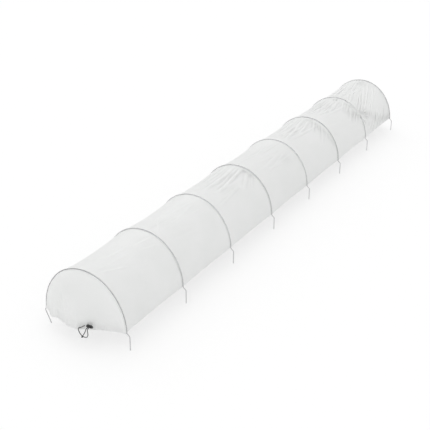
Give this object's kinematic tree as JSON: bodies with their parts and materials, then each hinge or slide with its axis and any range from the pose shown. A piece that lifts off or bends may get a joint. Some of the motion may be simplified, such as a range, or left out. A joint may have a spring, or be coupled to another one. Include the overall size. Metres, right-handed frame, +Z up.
{
  "type": "low garden grow tunnel with wire hoops and film cover",
  "caption": "Low garden grow tunnel: wire hoops in welded sleeves carry a milky film cover that a cord and cord lock draw closed at each end.",
  "frame": {"origin": "mid-length of the tunnel on its centre line, on the level of the leg tips", "axes": "+X across the tunnel to the right seen from the front, +Y along the tunnel from the front end to the back, +Z up"},
  "size_m": [0.448, 3.183, 0.3143],
  "materials": {
    "film": "milky polythene film, soft sheen",
    "wire": "galvanised wire, dull zinc",
    "cord": "braided polyester cord",
    "lock": "black moulded nylon"
  },
  "bodies": {
    "root": {"hoop_1": "wire", "hoop_2": "wire", "hoop_3": "wire", "hoop_4": "wire", "hoop_5": "wire", "hoop_6": "wire", "hoop_7": "wire", "hoop_8": "wire", "sleeve_1": "film", "sleeve_2": "film", "sleeve_3": "film", "sleeve_4": "film", "sleeve_5": "film", "sleeve_6": "film", "sleeve_7": "film", "sleeve_8": "film", "cover_bay_1": "film", "cover_bay_2": "film", "cover_bay_3": "film", "cover_bay_4": "film", "cover_bay_5": "film", "cover_bay_6": "film", "cover_bay_7": "film", "front_end_panel": "film", "front_end_hem": "film", "front_drawcord": "cord", "front_cord_tail": "cord", "front_tail_knot": "cord", "front_lock_barrel": "lock", "front_lock_plunger": "lock", "back_end_panel": "film", "back_end_hem": "film", "back_drawcord": "cord", "back_cord_tail": "cord", "back_tail_knot": "cord", "back_lock_barrel": "lock", "back_lock_plunger": "lock"}
  },
  "joints": []
}
